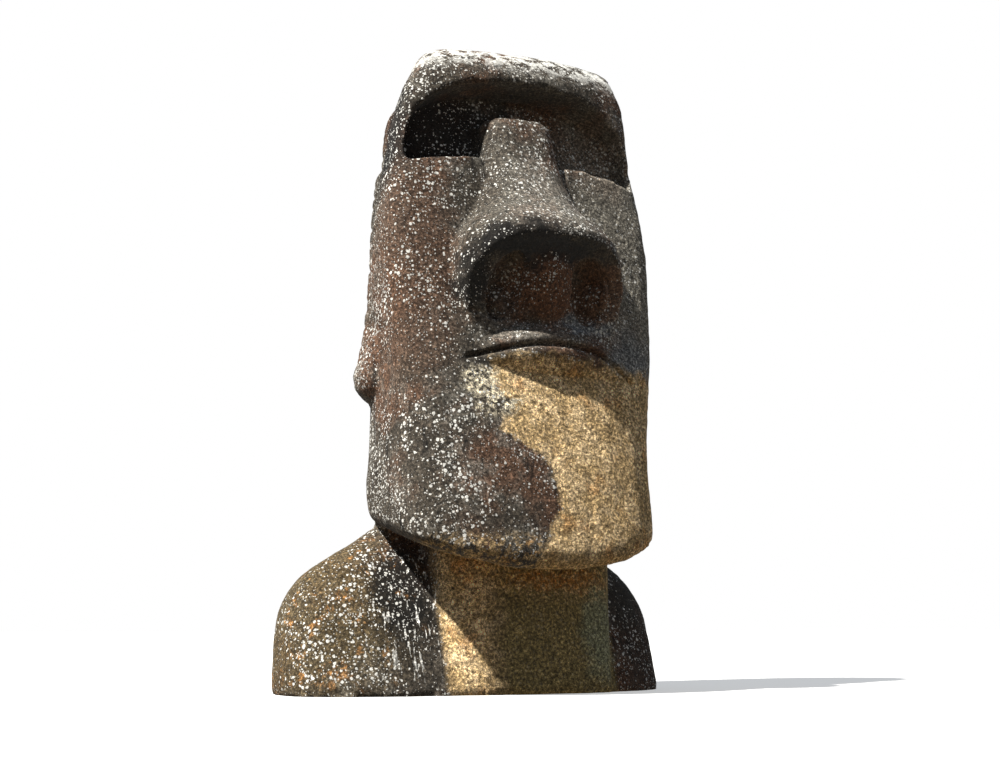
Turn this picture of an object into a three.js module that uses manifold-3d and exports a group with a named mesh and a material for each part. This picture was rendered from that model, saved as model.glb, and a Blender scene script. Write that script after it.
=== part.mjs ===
// A moai: the head and shoulders of a colossal figure carved from one block of volcanic tuff.
// It is one solid, cut off flat where it enters the ground.
//
// Millimetres, +Z up. The face looks along -Y, and the figure's right side is towards -X.
// Every form is shaped upright, then the whole figure is leaned and cut level at the ground.

import * as THREE from "three";
import { LoftGeometry } from "three/addons/geometries/LoftGeometry.js";
import { mergeVertices } from "three/addons/utils/BufferGeometryUtils.js";
import Module from "manifold-3d";

// ---- Driving dimensions -------------------------------------------------------------------

const crown = 4190; // top of the head above the ground, along the figure's own axis
const chin = 620; // lowest point of the jaw
const jawHalf = 900; // half the width across the jaw
const cheekHalf = 945; // and across the cheeks beside the nose
const browHalf = 840; // and across the brow
const faceY = -700; // the plane of the cheeks
const headShift = 140; // the head stands a little to the figure's left of its shoulders
const shoulderHalf = 1275; // half the width across the shoulders at the ground

const leanBack = 8.2; // degrees that the figure tips back

const tuff = { color: 0x5b5044, roughness: 0.95, metalness: 0 };

// ---- Heights of the features ----------------------------------------------------------------

const mouthZ = 2000;
const noseBaseZ = 2145;
const noseTipZ = 2620;
const cheekTopZ = 3285;
const bridgeTopZ = 3570;
const browZ = 3790;

// ---- Shared helpers -------------------------------------------------------------------------

const wasm = await Module();
wasm.setup();

// A three.js geometry as a manifold solid. Triangles that have shrunk to a line are left out.
function solid(geometry) {
  const bare = new THREE.BufferGeometry();
  bare.setAttribute("position", geometry.getAttribute("position"));
  if (geometry.index) bare.setIndex(geometry.index);
  const merged = mergeVertices(bare, 1e-3);
  const corners = merged.index.array;
  const kept = [];
  for (let i = 0; i < corners.length; i += 3) {
    const [a, b, c] = corners.slice(i, i + 3);
    if (a !== b && b !== c && c !== a) kept.push(a, b, c);
  }
  return new wasm.Manifold(
    new wasm.Mesh({
      numProp: 3,
      vertProperties: merged.getAttribute("position").array,
      triVerts: new Uint32Array(kept),
    }),
  );
}

// A solid lofted through rings of points, each end drawn in to its middle.
function loft(rings) {
  const drawnIn = (points) => {
    const middle = points.reduce((sum, point) => sum.add(point), new THREE.Vector3());
    return points.map(() => middle.clone().divideScalar(points.length));
  };
  const last = rings[rings.length - 1];
  return solid(new LoftGeometry([drawnIn(rings[0]), ...rings, drawnIn(last)]));
}

// A manifold solid back as a three.js geometry.
function geometryOf(manifold) {
  const mesh = manifold.getMesh();
  const geometry = new THREE.BufferGeometry();
  geometry.setAttribute("position", new THREE.BufferAttribute(mesh.vertProperties, 3));
  geometry.setIndex(new THREE.BufferAttribute(mesh.triVerts, 1));
  return geometry;
}

// A point on the unit squircle |u|^n + |v|^n = 1, at an angle.
function squircle(angle, n) {
  const [c, s] = [Math.cos(angle), Math.sin(angle)];
  const reach = (Math.abs(c) ** n + Math.abs(s) ** n) ** (-1 / n);
  return [reach * c, reach * s];
}

// Every property of a list of keys, drawn through by one spline and sampled in even steps.
function blendKeys(keys, steps) {
  const names = Object.keys(keys[0]);
  const curves = names.map(
    (name) => new THREE.SplineCurve(keys.map((key, i) => new THREE.Vector2(i, key[name]))),
  );
  return Array.from({ length: steps + 1 }, (_, i) =>
    Object.fromEntries(names.map((name, k) => [name, curves[k].getPoint(i / steps).y])),
  );
}

// A level ring. It is widest at one depth, squared to the front of it and rounder behind.
// Its front bows forward by bulge, it climbs by rise to the back and by arch to the sides,
// and it stands off the middle by sway.
function ring(key, points) {
  const { z, half, front, widest, back, nFront, nBack } = key;
  const { bulge = 0, rise = 0, arch = 0, tilt = 0, sway = 0 } = key;
  return Array.from({ length: points }, (_, i) => {
    const angle = (i / points) * 2 * Math.PI;
    const [u, v] = squircle(angle, Math.sin(angle) < 0 ? nFront : nBack);
    const y = v < 0 ? widest + v * (widest - front) - bulge * u * u * v : widest + v * (back - widest);
    const along = (y - front) / (back - front); // 0 at the front, 1 at the back
    return new THREE.Vector3(sway + u * half, y, z + rise * along + arch * u * u + tilt * u);
  });
}

const loftOfRings = (keys, steps, points) =>
  loft(blendKeys(keys, steps).map((key) => ring(key, points)));

// ---- Head -----------------------------------------------------------------------------------

// The head is a tall block with a squared face. Its underside climbs from the chin to the nape.
function headBlock() {
  const [jaw, cheek, brow] = [jawHalf, cheekHalf, browHalf];
  const keys = [
    { z: chin, half: jaw - 135, front: -760, widest: -300, back: 430, sway: -78, bulge: 85 },
    { z: chin + 35, half: jaw - 67, front: -835, widest: -270, back: 480, sway: -80, bulge: 90 },
    { z: chin + 130, half: jaw - 38, front: -860, widest: -250, back: 500, sway: -82, bulge: 95 },
    { z: 1100, half: jaw - 38, front: -855, widest: -250, back: 510, sway: -78, bulge: 95 },
    { z: 1500, half: jaw - 36, front: -830, widest: -280, back: 500, sway: -55, bulge: 90 },
    { z: mouthZ, half: jaw + 2, front: -780, widest: -390, back: 430, sway: -16, bulge: 70 },
    { z: 2350, half: cheek - 26, front: -740, widest: -450, back: 390, sway: -10, bulge: 55 },
    { z: 2750, half: cheek - 14, front: -715, widest: -500, back: 350, sway: -4, bulge: 45 },
    { z: 3050, half: cheek - 48, front: faceY, widest: -500, back: 310, sway: -2, bulge: 42 },
    { z: cheekTopZ, half: brow + 18, front: faceY, widest: -500, back: 270, sway: 4, bulge: 42 },
    { z: 3550, half: brow - 14, front: faceY - 20, widest: -520, back: 230, sway: 22, bulge: 50 },
    { z: browZ, half: brow - 55, front: faceY - 60, widest: -520, back: 180, sway: 60, bulge: 100 },
    { z: 3900, half: brow - 98, front: faceY - 45, widest: -480, back: 160, sway: 87, bulge: 100 },
    { z: 4018, half: brow - 125, front: faceY + 40, widest: -430, back: 140, sway: 120, bulge: 100 },
    { z: 4112, half: brow - 150, front: faceY + 150, widest: -360, back: 100, sway: 185, bulge: 90 },
    { z: 4168, half: brow - 225, front: faceY + 260, widest: -270, back: 40, sway: 210, bulge: 60 },
    { z: crown, half: brow - 400, front: faceY + 360, widest: -200, back: -60, sway: 190, bulge: 20 },
  ].map((key) => {
    const low = 1 - THREE.MathUtils.smoothstep(key.z, chin, 1600); // 1 at the chin, 0 at the mouth
    const high = THREE.MathUtils.smoothstep(key.z, 2200, 3700); // 0 at the mouth, 1 at the brow
    const tilt = 12 * THREE.MathUtils.smoothstep(key.z, browZ, 4010);
    return { ...key, rise: 480 * low, arch: 100 * low, tilt, nFront: 5.5, nBack: 2.2 - 0.4 * high };
  });
  return loftOfRings(keys, 32, 56);
}

// The wide hollow under the brow that both eyes share, arched above and nearly level below.
// It runs out to the temples, and its back wall is the front of a core inside the head.
function eyeHollow() {
  const half = browHalf - 30;
  const [floor, spring, top] = [cheekTopZ, cheekTopZ + 60, browZ];
  const shape = new THREE.Shape();
  shape.moveTo(-half, floor - 70);
  shape.quadraticCurveTo(-half * 0.5, floor, 0, floor);
  shape.quadraticCurveTo(half * 0.5, floor, half, floor - 70);
  shape.lineTo(half, spring);
  shape.bezierCurveTo(half * 0.96, top - 100, half * 0.6, top, 0, top);
  shape.bezierCurveTo(-half * 0.6, top, -half * 0.96, top - 100, -half, spring);
  shape.closePath();
  const depth = 600;
  const opening = new THREE.ExtrudeGeometry(shape, { depth, bevelEnabled: false, curveSegments: 8 });
  opening.rotateX(Math.PI / 2).translate(20, faceY - 200 + depth, 0);
  const core = { half: half + 15, widest: -430, back: 200, sway: 20, nFront: 3, nBack: 4 };
  const coreBlock = loftOfRings(
    [
      { z: cheekTopZ - 200, front: faceY + 200, ...core },
      { z: browZ, front: faceY + 230, ...core },
      { z: browZ + 200, front: faceY + 240, ...core },
    ],
    3,
    44,
  );
  return solid(opening).subtract(coreBlock);
}

// ---- Nose -----------------------------------------------------------------------------------

const underNoseSlope = 0.5; // radians that the underside of the nose slopes back from upright

// The nose flares from a narrow bridge to broad wings, and its profile is hollow like a ski jump.
function nose() {
  const root = faceY + 260;
  const keys = [
    { z: noseBaseZ - 60, front: -910, halfFront: 350, halfBase: 490 },
    { z: 2350, front: -1070, halfFront: 445, halfBase: 570 },
    { z: noseTipZ, front: -1115, halfFront: 380, halfBase: 560 },
    { z: 2740, front: -1075, halfFront: 315, halfBase: 490 },
    { z: 2840, front: -980, halfFront: 265, halfBase: 425 },
    { z: 2950, front: -890, halfFront: 240, halfBase: 370 },
    { z: 3200, front: -790, halfFront: 215, halfBase: 285 },
    { z: 3480, front: -745, halfFront: 195, halfBase: 250 },
    { z: bridgeTopZ - 25, front: -725, halfFront: 180, halfBase: 240 },
    { z: bridgeTopZ, front: -690, halfFront: 150, halfBase: 210 },
  ];
  const points = 28;
  const sections = blendKeys(keys, 16).map(({ z, front, halfFront, halfBase }) =>
    Array.from({ length: points }, (_, k) => {
      const [u, v] = squircle((k / points) * 2 * Math.PI, 4);
      const along = (v + 1) / 2;
      const half = THREE.MathUtils.lerp(halfFront, halfBase, Math.min(1, along * 2.4));
      return new THREE.Vector3(u * half, THREE.MathUtils.lerp(front, root, along), z);
    }),
  );
  return loft(sections);
}

// What is cut away under the nose: it slopes from the tip back and down to the lip,
// with a long nostril hollowed out on each side.
function underNose() {
  const [tipY, lipY] = [-1115, -765];
  const [fore, low] = [tipY - 300, noseBaseZ - 100]; // the cut runs on well clear of the stone
  const shape = new THREE.Shape();
  shape.moveTo(fore, noseTipZ + 60);
  shape.lineTo(tipY, noseTipZ);
  shape.quadraticCurveTo(lipY - 110, noseTipZ - 120, lipY, noseBaseZ);
  shape.lineTo(lipY + 10, low);
  shape.lineTo(fore, low);
  const depth = 1300;
  const geometry = new THREE.ExtrudeGeometry(shape, { depth, bevelEnabled: false, curveSegments: 6 });
  geometry.rotateY(Math.PI / 2).rotateX(Math.PI / 2);
  geometry.translate(-depth / 2, 0, 0);
  return solid(geometry).add(nostril(1)).add(nostril(-1));
}

function nostril(side) {
  const geometry = new THREE.SphereGeometry(1, 16, 10).scale(120, 120, 230);
  geometry.rotateX(underNoseSlope).rotateY(-side * 0.25);
  return solid(geometry.translate(side * 285, -850, 2360));
}

// The rounded pillar between the nostrils, running from the tip down to the lip.
function columella() {
  const geometry = new THREE.SphereGeometry(1, 16, 10).scale(175, 110, 300);
  return solid(geometry.rotateX(underNoseSlope).translate(0, -830, 2370));
}

// The narrow slit that parts each cheek from the bridge of the nose.
function slit(side) {
  const geometry = new THREE.ConeGeometry(1, 1, 4).scale(42, 330, 130);
  geometry.rotateX(-Math.PI / 2).translate(side * 275, faceY, cheekTopZ - 120);
  return solid(geometry);
}

// ---- Mouth ----------------------------------------------------------------------------------

// A lip across the face, above or below the mouth's slit. It stands out most beside the slit,
// slopes back to the face at its far side, and thins towards the corners of the mouth.
function lip({ edge, height, reach }) {
  const [steps, middle, half, droop] = [16, 45, 575, 130];
  const slope = [[-1, 1], [0, 1], [0.45, 0.75], [0.85, 0.45], [1, 0.27], [1, 0.1], [0.85, 0], [-1, 0]];
  const sections = Array.from({ length: steps + 1 }, (_, i) => {
    const s = (i / steps) * 2 - 1; // -1 at the right corner of the mouth, 1 at the left
    const swell = Math.max(0.12, (1 - s * s) ** 0.45);
    const low = edge - droop * s * s * (1 + 0.35 * s);
    const surface = -785 + 90 * s * s;
    const section = slope.map(([out, far]) => {
      const y = surface - (out > 0 ? out * reach * swell : out * 60);
      return new THREE.Vector3(middle + s * half, y, low + far * height * Math.max(0.35, swell));
    });
    return height > 0 ? section : section.reverse();
  });
  return loft(sections);
}

// ---- Ears -----------------------------------------------------------------------------------

// A long ear down the side of the head, stepped at its top and heavy at the lobe,
// with a shallow groove along its outer face.
function ear(side) {
  const keys = [
    { z: 1770, half: 800, front: -330, back: 40 },
    { z: 1810, half: 930, front: -360, back: 80 },
    { z: 1920, half: 985, front: -370, back: 110 },
    { z: 2040, half: 965, front: -370, back: 110 },
    { z: 2200, half: 910, front: -370, back: 90 },
    { z: 2500, half: 870, front: -380, back: 70 },
    { z: 2900, half: 835, front: -390, back: 50 },
    { z: 3200, half: 805, front: -400, back: 20 },
    { z: 3290, half: 790, front: -400, back: 10 },
    { z: 3340, half: 755, front: -400, back: 0 },
    { z: 3680, half: 720, front: -400, back: -40 },
    { z: 3760, half: 640, front: -380, back: -80 },
  ].map((key) => ({ ...key, widest: (key.front + key.back) / 2, nFront: 5, nBack: 5 }));
  const outside = new THREE.BoxGeometry(1000, 2000, crown).translate(side * 600, 0, crown / 2);
  const groove = new THREE.CapsuleGeometry(75, 800, 4, 12).rotateX(Math.PI / 2).scale(0.6, 1, 1);
  groove.rotateY(-side * 0.09).translate(side * 915, -160, 2680);
  return loftOfRings(keys, 26, 24).intersect(solid(outside)).subtract(solid(groove));
}

// ---- Neck and shoulders ---------------------------------------------------------------------

const underground = -600; // the block runs on below the cut

function neck() {
  const keys = [
    { z: underground, half: 590, front: -450, back: 420 },
    { z: 0, half: 570, front: -430, back: 420 },
    { z: 350, half: 580, front: -435, back: 410 },
    { z: 700, half: 600, front: -440, back: 400 },
    { z: 1100, half: 600, front: -430, back: 380 },
    { z: 1500, half: 560, front: -400, back: 330 },
  ].map((key) => ({ ...key, widest: -100, nFront: 6, nBack: 2.5, bulge: 40 }));
  return loftOfRings(keys, 10, 40);
}

function shoulders() {
  const w = shoulderHalf;
  const keys = [
    { z: underground, half: w + 30, front: -440, back: 820 },
    { z: 0, half: w, front: -370, back: 800 },
    { z: 350, half: w - 25, front: -310, back: 770 },
    { z: 520, half: w - 60, front: -270, back: 740 },
    { z: 640, half: w - 115, front: -230, back: 710 },
    { z: 750, half: w - 205, front: -190, back: 680 },
    { z: 840, half: w - 335, front: -140, back: 650 },
    { z: 930, half: w - 490, front: -80, back: 610 },
    { z: 1040, half: w - 660, front: 0, back: 560 },
  ].map((key) => ({ ...key, widest: 120, sway: -50, nFront: 2.6, nBack: 2.6 }));
  return loftOfRings(keys, 16, 48);
}

// ---- The figure -----------------------------------------------------------------------------

function figure() {
  const head = headBlock()
    .add(ear(1))
    .add(ear(-1))
    .subtract(eyeHollow())
    .add(nose())
    .subtract(slit(1))
    .subtract(slit(-1))
    .subtract(underNose())
    .add(columella())
    .add(lip({ edge: mouthZ + 4, height: 160, reach: 95 }))
    .add(lip({ edge: mouthZ - 12, height: -185, reach: 95 }))
    .add(neck());
  const leaning = geometryOf(head.translate([headShift, 0, 0]).add(shoulders()))
    .rotateX(THREE.MathUtils.degToRad(-leanBack));
  const ground = new THREE.BoxGeometry(6000, 6000, 2000).translate(0, 0, -1000);
  const cut = geometryOf(solid(leaning).subtract(solid(ground)));
  cut.computeBoundingBox();
  const middle = cut.boundingBox.getCenter(new THREE.Vector3());
  return cut.translate(-middle.x, -middle.y, 0);
}

const moai = new THREE.Mesh(figure(), new THREE.MeshStandardMaterial(tuff));
moai.name = "moai";

const group = new THREE.Group();
group.add(moai);

export default group;
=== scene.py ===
import math

import bmesh
import bpy
import numpy as np
from mathutils import Matrix, Vector, noise
from mathutils.bvhtree import BVHTree


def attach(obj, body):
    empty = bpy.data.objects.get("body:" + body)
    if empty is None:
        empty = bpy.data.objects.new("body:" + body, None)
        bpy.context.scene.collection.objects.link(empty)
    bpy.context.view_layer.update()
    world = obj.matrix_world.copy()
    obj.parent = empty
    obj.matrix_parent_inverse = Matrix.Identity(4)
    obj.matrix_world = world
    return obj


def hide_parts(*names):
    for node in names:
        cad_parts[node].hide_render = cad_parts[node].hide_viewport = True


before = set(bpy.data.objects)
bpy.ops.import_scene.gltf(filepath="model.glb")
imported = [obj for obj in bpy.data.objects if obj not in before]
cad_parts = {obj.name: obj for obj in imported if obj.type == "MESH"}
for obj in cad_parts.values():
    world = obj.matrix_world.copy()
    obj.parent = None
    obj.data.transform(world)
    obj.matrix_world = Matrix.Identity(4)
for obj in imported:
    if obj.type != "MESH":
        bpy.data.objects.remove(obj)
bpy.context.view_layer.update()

# A moai carved from one block of volcanic tuff. Metres, +Z up, the face looks along -Y.
# Places on the figure are given upright, as it was laid out before it was leaned back:
# x across, y forward to back, z up from the ground, with the middle of the face at x 0.14.

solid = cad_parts["moai"]

figure = {
    "lean": math.radians(8.2),  # how far it tips back
    "middle": Vector((-0.050, 0.0328, 0)),  # from the frame's origin to the upright one's
}
upright = Matrix.Rotation(figure["lean"], 3, "X")


def uprightPoints(points):
    return (points + np.array(figure["middle"])) @ np.array(upright).T


# ---- Camera, light and floor

view = {
    "azimuth": math.radians(-27),
    "elevation": math.radians(-8.6),
    "distance": 10.0,
    "target": Vector((0.050, -0.033, 1.92)),
    "width": math.radians(35.2),  # how wide it sees
    "shift": 0.010,
}


def direction(azimuth, elevation):
    flat = math.cos(elevation)
    return Vector((math.sin(azimuth) * flat, -math.cos(azimuth) * flat, math.sin(elevation)))


def addToScene(name, data):
    thing = bpy.data.objects.new(name, data)
    bpy.context.scene.collection.objects.link(thing)
    return thing


def makeCamera():
    camera = addToScene("camera", bpy.data.cameras.new("camera"))
    back = direction(view["azimuth"], view["elevation"])
    camera.location = view["target"] + back * view["distance"]
    camera.rotation_euler = (-back).to_track_quat("-Z", "Y").to_euler()
    camera.data.angle = view["width"]
    camera.data.shift_x = view["shift"]
    bpy.context.scene.camera = camera


light = {
    "sunAzimuth": math.radians(-80),
    "sunElevation": math.radians(54),
    "sun": 7.5,
    "sunSize": math.radians(1.5),  # how soft the edges of its shadows are
    "sky": (0.17, 0.20, 0.245, 1),  # what reaches the stone from above
    "ground": (0.17, 0.13, 0.08, 1),  # and from the ground round it
    "backdrop": (1, 1, 1, 1),
}


def makeLight():
    sun = addToScene("sun", bpy.data.lights.new("sun", "SUN"))
    sun.data.energy = light["sun"]
    sun.data.angle = light["sunSize"]
    sun.data.color = (1, 0.97, 0.92)
    towards = direction(light["sunAzimuth"], light["sunElevation"])
    sun.rotation_euler = towards.to_track_quat("Z", "Y").to_euler()
    world = bpy.data.worlds.new("studio")
    world.use_nodes = True
    tree = world.node_tree
    tree.nodes.clear()
    sky = Recipe(tree)
    height = sky.node("ShaderNodeTexCoord", output="Generated")
    height = sky.node("ShaderNodeSeparateXYZ", {}, {0: height}, "Z")
    colour = sky.mix(light["ground"], light["sky"], height.step(-0.2, 0.2))
    seen = sky.node("ShaderNodeLightPath", output="Is Camera Ray")
    colour = sky.mix(colour, light["backdrop"], seen)
    shade = sky.node("ShaderNodeBackground", {}, {"Color": colour})
    sky.node("ShaderNodeOutputWorld", {}, {"Surface": shade})
    bpy.context.scene.world = world
    bpy.context.scene.view_settings.view_transform = "Standard"


def makeFloor():
    mesh = bpy.data.meshes.new("floor")
    reach = 60
    corners = [(-reach, -reach, 0), (reach, -reach, 0), (reach, reach, 0), (-reach, reach, 0)]
    mesh.from_pydata(corners, [], [(0, 1, 2, 3)])
    floor = addToScene("floor", mesh)
    material = bpy.data.materials.new("paleFloor")
    material.use_nodes = True
    finish = material.node_tree.nodes["Principled BSDF"]
    finish.inputs["Base Color"].default_value = (0.6, 0.6, 0.59, 1)
    finish.inputs["Roughness"].default_value = 0.9
    finish.inputs["Emission Color"].default_value = (1, 1, 0.99, 1)
    finish.inputs["Emission Strength"].default_value = 0.45
    mesh.materials.append(material)
    floor.visible_diffuse = False  # its glare stays off the undersides of the stone


# ---- Shader nodes written as expressions

class Link:
    # One output of a node. Arithmetic on it adds Math nodes to the same material.
    def __init__(self, recipe, socket):
        self.recipe, self.socket = recipe, socket

    def maths(self, operation, *values):
        return self.recipe.node("ShaderNodeMath", {"operation": operation}, dict(enumerate(values)))

    def __add__(self, other):
        return self.maths("ADD", self, other)

    def __sub__(self, other):
        return self.maths("SUBTRACT", self, other)

    def __rsub__(self, other):
        return self.maths("SUBTRACT", other, self)

    def __mul__(self, other):
        return self.maths("MULTIPLY", self, other)

    def __truediv__(self, other):
        return self.maths("DIVIDE", self, other)

    def __rpow__(self, other):
        return self.maths("POWER", other, self)

    __radd__ = __add__
    __rmul__ = __mul__

    def size(self):
        return self.maths("ABSOLUTE", self)

    def atLeast(self, other):
        return self.maths("MAXIMUM", self, other)

    def atMost(self, other):
        return self.maths("MINIMUM", self, other)

    # 0 below low, 1 above high and smooth between; the other way round where low is the larger
    def step(self, low, high):
        settings = {"interpolation_type": "SMOOTHSTEP"}
        return self.recipe.node("ShaderNodeMapRange", settings, {"Value": self, 1: low, 2: high})


class Recipe:
    def __init__(self, tree):
        self.tree = tree

    def node(self, kind, settings={}, values={}, output=0):
        made = self.tree.nodes.new(kind)
        for name, setting in settings.items():
            if name == "stops":
                self.setStops(made.color_ramp, setting)
            else:
                setattr(made, name, setting)
        for key, value in values.items():
            socket = made.inputs[key]
            if isinstance(value, Link):
                self.tree.links.new(value.socket, socket)
            else:
                socket.default_value = value
        return Link(self, made.outputs[output]) if made.outputs else made

    def setStops(self, ramp, stops):
        for i, (place, colour) in enumerate(stops):
            spot = ramp.elements[i] if i < 2 else ramp.elements.new(place)
            spot.position, spot.color = place, colour

    def mix(self, first, second, amount):
        values = {0: amount, 6: first, 7: second}
        return self.node("ShaderNodeMix", {"data_type": "RGBA"}, values, output=2)

    def vector(self, operation, first, second=None, output=0):
        values = {0: first} if second is None else {0: first, 1: second}
        return self.node("ShaderNodeVectorMath", {"operation": operation}, values, output)

    def scaled(self, colour, amount):
        values = {0: colour, "Scale": amount}
        return self.node("ShaderNodeVectorMath", {"operation": "SCALE"}, values)

    def noise(self, place, scale, detail=3.0, roughness=0.55, output=0):
        values = {"Vector": place, "Scale": scale, "Detail": detail, "Roughness": roughness}
        return self.node("ShaderNodeTexNoise", {}, values, output)

    def cells(self, place, scale, output="Distance"):
        return self.node("ShaderNodeTexVoronoi", {}, {"Vector": place, "Scale": scale}, output)


# ---- The carved block: its form, wear and finer carving

carving = {
    "voxel": 0.0248,  # the spacing of its points; the face has half of that
    "faceZone": ((-0.62, 1.02), -0.38, (1.80, 3.86)),  # across, back to, and up
    "edgeWear": 0.016,  # how far the sharpest arrises are worn down
    "swell": 0.012,  # long uneven swells of the dressed surface
    "lumps": 0.0045,
    "grain": 0.0022,
    "pits": 0.009,
    "rainRuns": 0.004,
    "noseCrease": 0.016,
    "mouthSlit": 0.045,
    "nostrilWing": 0.055,  # how far the rolled foot of a nostril's wing stands out
    "wingGroove": 0.020,
    "earNotches": 0.012,
    "seed": 7.3,
}

# The crease under the nose and the slit of the mouth, as points across and up.
noseBase = [(-0.36, 2.20), (-0.25, 2.178), (-0.08, 2.170), (0.066, 2.150), (0.20, 2.115),
            (0.34, 2.085), (0.47, 2.03), (0.60, 1.95)]
mouthSlit = [(0.185 + 0.575 * s, 1.996 - 0.130 * s * s * (1 + 0.35 * s)) for s in np.linspace(-1, 1, 17)]


def neighbourMean(points, edges, rounds):
    count = np.bincount(edges.ravel(), minlength=len(points))[:, None]
    for _ in range(rounds):
        total = np.zeros_like(points)
        for axis in range(points.shape[1]):
            total[:, axis] = np.bincount(edges[:, 0], points[edges[:, 1], axis], len(points))
            total[:, axis] += np.bincount(edges[:, 1], points[edges[:, 0], axis], len(points))
        points = total / np.maximum(count, 1)
    return points


def smoothStep(values, low, high):
    t = np.clip((values - low) / (high - low), 0, 1)
    return t * t * (3 - 2 * t)


def noiseAt(points, stretch, seed=0.0):
    spread = points * np.array(stretch) + seed
    return np.array([noise.noise(Vector(p)) for p in spread])


def pitsAt(points, scale, seed):
    # how deep each point lies in a scatter of round pits, 0 outside them
    spread = points * scale + seed
    depth = np.zeros(len(points))
    for i, p in enumerate(spread):
        distances, centres = noise.voronoi(Vector(p))
        size = 0.12 + 0.22 * abs(noise.noise(centres[0] * 3.1))
        depth[i] = max(0.0, 1 - distances[0] / size)
    return np.sqrt(depth)


def distanceToPath(across, up, path):
    nearest = np.full(len(across), 1e9)
    here = np.stack([across, up], 1)
    for start, end in zip(path[:-1], path[1:]):
        a, run = np.array(start), np.array(end) - np.array(start)
        along = np.clip((here - a) @ run / (run @ run), 0, 1)
        nearest = np.minimum(nearest, np.linalg.norm(here - a - along[:, None] * run, axis=1))
    return nearest


def readMesh(mesh):
    points = np.empty(len(mesh.vertices) * 3)
    mesh.vertices.foreach_get("co", points)
    normals = np.empty(len(mesh.vertices) * 3)
    mesh.vertex_normals.foreach_get("vector", normals)
    edges = np.empty(len(mesh.edges) * 2, dtype=np.int32)
    mesh.edges.foreach_get("vertices", edges)
    return points.reshape(-1, 3), normals.reshape(-1, 3), edges.reshape(-1, 2)


def writePoints(mesh, points):
    mesh.vertices.foreach_set("co", points.ravel())
    mesh.update()


def remeshed(source):
    # an even skin over the CAD solid, with finer faces where the face is carved
    rough = addToScene("roughBlock", source.data.copy())
    skin = rough.modifiers.new("skin", "REMESH")
    skin.mode, skin.voxel_size = "VOXEL", carving["voxel"]
    skin.use_smooth_shade = True
    ready = rough.evaluated_get(bpy.context.evaluated_depsgraph_get())
    mesh = bpy.data.meshes.new_from_object(ready)
    bpy.data.objects.remove(rough)
    (left, right), back, (low, high) = carving["faceZone"]
    work = bmesh.new()
    work.from_mesh(mesh)
    fine = []
    for face in work.faces:
        x, y, z = upright @ (face.calc_center_median() + figure["middle"])
        if left < x < right and y < back and low < z < high:
            fine.append(face)
    edges = {edge for face in fine for edge in face.edges}
    bmesh.ops.subdivide_edges(work, edges=list(edges), cuts=1, use_grid_fill=True)
    work.to_mesh(mesh)
    work.free()
    carvedSurface = BVHTree.FromObject(source, bpy.context.evaluated_depsgraph_get())
    points = [carvedSurface.find_nearest(vertex.co)[0] for vertex in mesh.vertices]
    writePoints(mesh, np.array(points))
    return mesh


def carve(mesh):
    points, normals, edges = readMesh(mesh)
    ground = points[:, 2] < 0.012
    points = points * 0.5 + neighbourMean(points, edges, 1) * 0.5
    writePoints(mesh, points)
    points, normals, edges = readMesh(mesh)
    place = uprightPoints(points)
    x, y, z = place.T
    forward = smoothStep(-normals[:, 1], 0.0, 0.35)

    # worn arrises: what stands out from its surroundings is taken down unevenly
    calm = neighbourMean(points, edges, 14)
    stands = np.einsum("ij,ij->i", points - calm, normals)
    uneven = noiseAt(place, (5, 5, 5), 3.0)
    nibbled = noiseAt(place, (16, 16, 16), 9.0)
    wear = smoothStep(stands, 0.004, 0.022)
    move = -carving["edgeWear"] * wear * (0.35 + 0.9 * smoothStep(uneven + 0.5 * nibbled, -0.2, 0.5))

    # the dressed surface: long swells, then lumps, grain and pits
    move += carving["swell"] * noiseAt(place, (2.2, 2.2, 1.3), carving["seed"])
    move += carving["lumps"] * noiseAt(place, (9, 9, 6), carving["seed"])
    move += carving["grain"] * noiseAt(place, (26, 26, 20), carving["seed"])
    scarce = smoothStep(noiseAt(place, (1.7, 1.7, 1.7), 21.0), -0.05, 0.35)
    move -= carving["pits"] * scarce * pitsAt(place, 9.0, 5.0)

    # rain has cut shallow runs down the front and the shoulders
    runs = noiseAt(place, (14, 14, 0.9), 31.0)
    move -= carving["rainRuns"] * smoothStep(runs, 0.05, 0.5) * smoothStep(z, 3.2, 2.4)

    # the crease along the foot of the nose and the slit between the lips
    front = forward * (y < -0.45)
    crease = np.exp(-(distanceToPath(x, z, noseBase) / 0.014) ** 2)
    move -= carving["noseCrease"] * front * crease
    slit = np.exp(-(distanceToPath(x, z, mouthSlit) / 0.013) ** 2)
    points[:, 1] += carving["mouthSlit"] * slit * (y < -0.45)

    # the rolled foot of each nostril's wing, with a groove curled round it
    for side, bulbX, bulbZ in ((-1, -0.150, 2.285), (1, 0.505, 2.330)):
        reach = np.hypot((x - bulbX) / 0.062, (z - bulbZ) / 0.078)
        inside = front * (y < -0.62)
        move += carving["nostrilWing"] * inside * np.exp(-reach**4)
        turn = [
            (bulbX + side * 0.085 * math.cos(a), bulbZ + 0.105 * math.sin(a))
            for a in np.linspace(-1.3, 2.0, 9)
        ]
        groove = np.exp(-(distanceToPath(x, z, turn) / 0.014) ** 2)
        move -= carving["wingGroove"] * inside * groove

    # the ears: notches cut across the rim
    ear = (np.abs(x - 0.14) > 0.72) * smoothStep(z, 1.80, 1.95) * smoothStep(z, 3.75, 3.6)
    ear = ear * smoothStep(y, -0.50, -0.42) * smoothStep(y, 0.12, 0.0)
    move -= carving["earNotches"] * ear * smoothStep(noiseAt(place, (3, 3, 19), 47.0), -0.1, 0.5)

    points = points + normals * move[:, None]
    points[ground, 2] = 0.0
    points[~ground, 2] = np.maximum(points[~ground, 2], 0.0)
    writePoints(mesh, points)


# ---- The stone: dark tuff, lichen, streaks, the bare ochre places, painted shade and painted light

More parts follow.
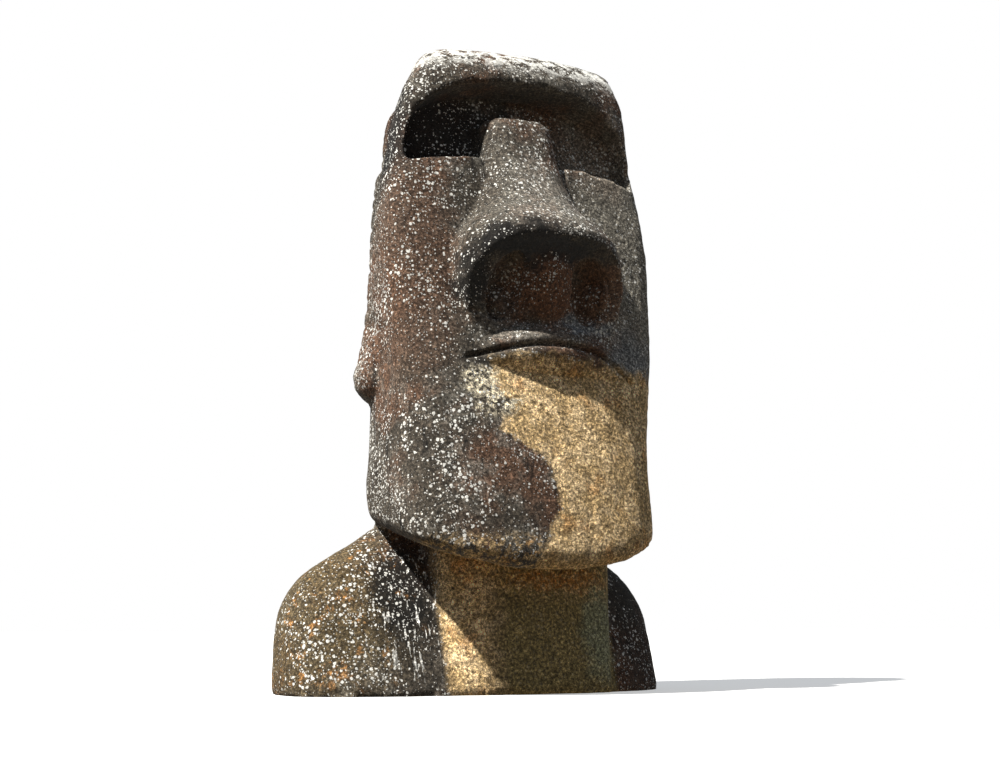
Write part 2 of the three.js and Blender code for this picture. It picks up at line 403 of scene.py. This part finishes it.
tuff = {
    "dark": (0.056, 0.047, 0.036, 1),
    "red": (0.100, 0.057, 0.036, 1),
    "grey": (0.150, 0.140, 0.118, 1),
    "pale": (0.27, 0.25, 0.205, 1),
    # near-black: a real stain in the streaks, and painted shade in the hollows, under overhangs and on
    # the shaded shoulder
    "blackStainAndShade": (0.006, 0.0055, 0.005, 1),
    "white": (0.74, 0.73, 0.68, 1),
    "cream": (0.70, 0.62, 0.45, 1),
    "ochre": (0.46, 0.32, 0.155, 1),
    "sand": (0.68, 0.50, 0.28, 1),
    "umber": (0.10, 0.070, 0.035, 1),
    "russet": (0.115, 0.052, 0.026, 1),
    "skyLitShadeGrey": (0.17, 0.18, 0.185, 1),
    "shadedNeckOlive": (0.23, 0.175, 0.075, 1),
    "orange": (0.45, 0.21, 0.06, 1),
    "moss": (0.23, 0.24, 0.150, 1),
    "bronze": (0.085, 0.062, 0.030, 1),
}

# Places of their own colour, some of them painted shade or painted light: the colour, the middle of the
# place, its reach and how strong it is.
stainsAndPaintedShade = [
    ("pale", (0.82, -0.68, 2.70), (0.36, 0.30, 0.85), 0.55),  # the figure's left cheek, made paler: painted light for the sun it catches
    ("grey", (0.14, -1.00, 2.85), (0.34, 0.30, 0.75), 0.60),  # the nose
    ("grey", (-0.05, -0.86, 2.09), (0.50, 0.12, 0.11), 0.70),  # the upper lip
    ("red", (-0.66, -0.62, 2.55), (0.26, 0.30, 0.75), 0.70),  # the right cheek
    ("blackStainAndShade", (-0.50, -0.42, 3.46), (0.55, 0.23, 0.42), 0.92),  # painted shadow, near-black, in the right of the eye hollow
    ("pale", (0.80, -0.44, 3.50), (0.36, 0.22, 0.32), 0.35),  # and the left of it
    ("russet", (0.16, -0.92, 2.34), (0.27, 0.20, 0.24), 0.85),  # between the nostrils
    ("russet", (0.54, -0.83, 2.36), (0.18, 0.18, 0.24), 0.60),
    ("blackStainAndShade", (-0.02, -1.02, 2.58), (0.50, 0.14, 0.13), 0.95),  # painted shade, near-black under the tip of the nose
    # painted shade, near-black under the wing of the nose
    ("blackStainAndShade", (-0.36, -0.86, 2.38), (0.11, 0.16, 0.20), 0.85),
    ("skyLitShadeGrey", (0.44, -0.77, 2.15), (0.22, 0.08, 0.06), 0.90),  # the ledge below them, blue-grey: painted shade as the sky lights it
    ("skyLitShadeGrey", (0.80, -0.70, 1.90), (0.22, 0.20, 0.24), 0.65),  # beside the mouth, the same painted sky-lit shade
    ("blackStainAndShade", (-0.10, -0.83, 1.86), (0.46, 0.09, 0.07), 0.70),  # painted shade, near-black under the lower lip
    ("bronze", (-1.10, 0.10, 0.50), (0.55, 0.60, 0.60), 0.85),  # the right shoulder
    ("blackStainAndShade", (1.10, 0.05, 0.40), (0.40, 0.55, 0.55), 0.75),  # and the left, made near-black: painted shade on the side turned from the sun
    ("blackStainAndShade", (-0.66, -0.24, 0.62), (0.20, 0.22, 0.42), 0.92),  # painted shade, near-black in the fold beside the neck
]


def makeTuff():
    material = bpy.data.materials.new("weatheredTuffAndPaintedShade")
    material.use_nodes = True
    tree = material.node_tree
    tree.nodes.clear()
    stone = Recipe(tree)
    turned = {
        "Vector": stone.node("ShaderNodeTexCoord", output="Object"),
        "Location": upright @ figure["middle"],
        "Rotation": (figure["lean"], 0, 0),
    }
    place = stone.node("ShaderNodeMapping", {}, turned)
    facing = stone.node("ShaderNodeNewGeometry", output="Normal")
    normalZ = stone.node("ShaderNodeSeparateXYZ", {}, {0: facing}, "Z")
    x = stone.node("ShaderNodeSeparateXYZ", {}, {0: place}, "X")
    y = stone.node("ShaderNodeSeparateXYZ", {}, {0: place}, "Y")
    z = stone.node("ShaderNodeSeparateXYZ", {}, {0: place}, "Z")
    # places shifted about, so that no border between two colours runs smooth
    wander = stone.noise(place, 7, 5, 0.65, output="Color")
    wander = stone.scaled(stone.vector("SUBTRACT", wander, (0.5, 0.5, 0.5)), 0.30)
    ragged = stone.vector("ADD", place, wander)
    raggedX = stone.node("ShaderNodeSeparateXYZ", {}, {0: ragged}, "X")
    raggedZ = stone.node("ShaderNodeSeparateXYZ", {}, {0: ragged}, "Z")

    def near(centre, size, soft=0.4):
        away = stone.vector("DIVIDE", stone.vector("SUBTRACT", ragged, centre), size)
        return stone.vector("LENGTH", away, output="Value").step(1 + soft, 1 - soft)

    broad = stone.noise(place, 1.6, 4)
    fine = stone.noise(place, 55, 4, 0.7)
    finer = stone.noise(place, 140, 3, 0.7)
    streaky = stone.vector("MULTIPLY", place, (1, 1, 0.12))
    streaks = stone.noise(streaky, 16, 4, 0.6)

    colour = stone.mix(tuff["dark"], tuff["red"], broad.step(0.46, 0.60))
    film = stone.noise(place, 4.5, 6, 0.65).step(0.48, 0.66)
    colour = stone.mix(colour, tuff["grey"], film * 0.6)
    colour = stone.mix(colour, tuff["blackStainAndShade"], streaks.step(0.56, 0.70) * 0.75)
    for name, middle, reach, strength in stainsAndPaintedShade:
        colour = stone.mix(colour, tuff[name], near(middle, reach) * strength)
    rust = stone.noise(place, 8, 5, 0.7).step(0.56, 0.66) * near((-1.10, 0.10, 0.50), (0.55, 0.60, 0.60))
    colour = stone.mix(colour, tuff["orange"], rust * 0.55)
    drips = stone.noise(stone.vector("MULTIPLY", place, (1, 1, 0.07)), 42, 3, 0.6).step(0.60, 0.64)
    drips = drips * near((-0.62, -0.26, 0.52), (0.26, 0.24, 0.45))
    colour = stone.mix(colour, tuff["white"], drips * 0.9)

    # where the block is bare and ochre: the left half of the chin, as it faces, and the neck, whose
    # shaded right side is painted darker olive
    border = [(1.797, -0.258), (1.70, -0.207), (1.64, -0.138), (1.45, -0.217), (1.39, -0.117),
              (1.33, 0.007), (1.21, 0.046), (1.09, 0.086), (0.967, 0.10), (0.846, 0.042), (0.70, -0.05)]
    low, high = border[-1][0], border[0][0]
    stops = [((h - low) / (high - low), (a + 0.5, a + 0.5, a + 0.5, 1)) for h, a in reversed(border)]
    up = (z - low) / (high - low)
    edge = stone.node("ShaderNodeValToRGB", {"stops": stops}, {0: up}) - 0.5
    chin = (raggedX - edge).step(-0.03, 0.03) * raggedZ.step(1.95, 1.84) * y.step(-0.30, -0.45)
    chin = chin * z.step(0.45, 0.62)
    neck = z.step(1.00, 0.90) * y.step(-0.15, -0.25) * y.step(-0.62, -0.54)
    neck = neck * (x - 0.14).size().step(0.62, 0.56)
    weathered = stone.mix(tuff["ochre"], tuff["sand"], stone.noise(place, 9, 5, 0.7).step(0.44, 0.60))
    weathered = stone.mix(weathered, tuff["orange"], stone.noise(place, 5, 4, 0.6).step(0.56, 0.70) * 0.5)
    weathered = stone.mix(weathered, tuff["umber"], stone.noise(place, 22, 5, 0.7).step(0.60, 0.68) * 0.9)
    colour = stone.mix(colour, weathered, chin)
    # painted shade: the neck's right side, where the jaw's shadow falls, is darker olive than the lit
    # ochre beside it
    colour = stone.mix(colour, tuff["shadedNeckOlive"], neck * raggedX.step(-0.25, -0.05))
    colour = stone.mix(colour, weathered, neck * raggedX.step(-0.05, -0.25))
    colour = stone.mix(colour, tuff["orange"], near((0.33, -0.43, 0.63), (0.36, 0.12, 0.06)) * 0.7)
    colour = stone.mix(colour, tuff["moss"], near((0.60, -0.40, 0.33), (0.16, 0.15, 0.28)) * 0.8)
    patchy = stone.noise(place, 30, 4, 0.7)
    rim = z.step(0.86, 0.74) * y.step(-0.30, -0.40) * patchy.step(0.46, 0.56)
    colour = stone.mix(colour, weathered, rim * z.step(0.45, 0.60) * 0.8)

    # white and cream lichen: a crust on the crown and the chin, and dots where it is not bare
    crust = stone.noise(place, 11, 6, 0.7).step(0.46, 0.53) * z.step(3.82, 4.06)
    chinCrust = (raggedX - edge).step(-0.24, -0.10) * (raggedX - edge).step(0.10, 0.0)
    chinCrust = chinCrust * z.step(1.50, 1.62) * z.step(1.88, 1.78) * y.step(-0.30, -0.45)
    colour = stone.mix(colour, tuff["cream"], chinCrust * patchy.step(0.44, 0.54))
    shaken = stone.scaled(stone.noise(place, 90, 3, output="Color"), 0.014)
    shaken = stone.vector("ADD", place, shaken)
    crowd = stone.noise(place, 2.4, 5, 0.65).step(0.36, 0.64)
    dots = 0.0
    for spacing in (36, 70):
        spots = stone.cells(shaken, spacing)
        size = stone.cells(shaken, spacing, "Color")
        size = stone.node("ShaderNodeSeparateXYZ", {}, {0: size}, "X")
        dots = (size * 0.48 - 0.20 + crowd * 0.20 - spots).step(0.0, 0.05).atLeast(dots)
    bare = (chin + neck).atMost(1)
    dots = dots * (1 - bare * 0.92) * normalZ.step(-0.6, -0.3)
    lichen = crust.atLeast(dots)
    colour = stone.mix(colour, tuff["white"], lichen)

    # light and dark grain of the tuff itself
    grain = (fine - 0.5) * 7 + (finer - 0.5) * 4
    colour = stone.scaled(colour, math.e ** (grain * (1 - lichen * 0.7)))

    height = fine * 0.6 + finer * 0.25 + lichen * 0.25 + stone.noise(place, 18, 4) * 0.8
    bump = stone.node("ShaderNodeBump", {}, {"Strength": 0.75, "Distance": 0.014, "Height": height})
    finish = stone.node("ShaderNodeBsdfPrincipled", {}, {
        "Base Color": colour,
        "Roughness": 0.93,
        "Specular IOR Level": 0.25,
        "Normal": bump,
    })
    stone.node("ShaderNodeOutputMaterial", {}, {"Surface": finish})
    return material


# ---- Putting it together

makeCamera()
makeLight()
makeFloor()
print("camera, light and floor are set")

blockMesh = remeshed(solid)
carve(blockMesh)
block = addToScene("carvedMoai", blockMesh)
blockMesh.materials.clear()
blockMesh.materials.append(makeTuff())
blockMesh.polygons.foreach_set("use_smooth", np.ones(len(blockMesh.polygons), dtype=bool))
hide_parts("moai")
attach(block, "root")
triangles = sum(len(face.vertices) - 2 for face in blockMesh.polygons)
print("the block is carved, triangles:", triangles)
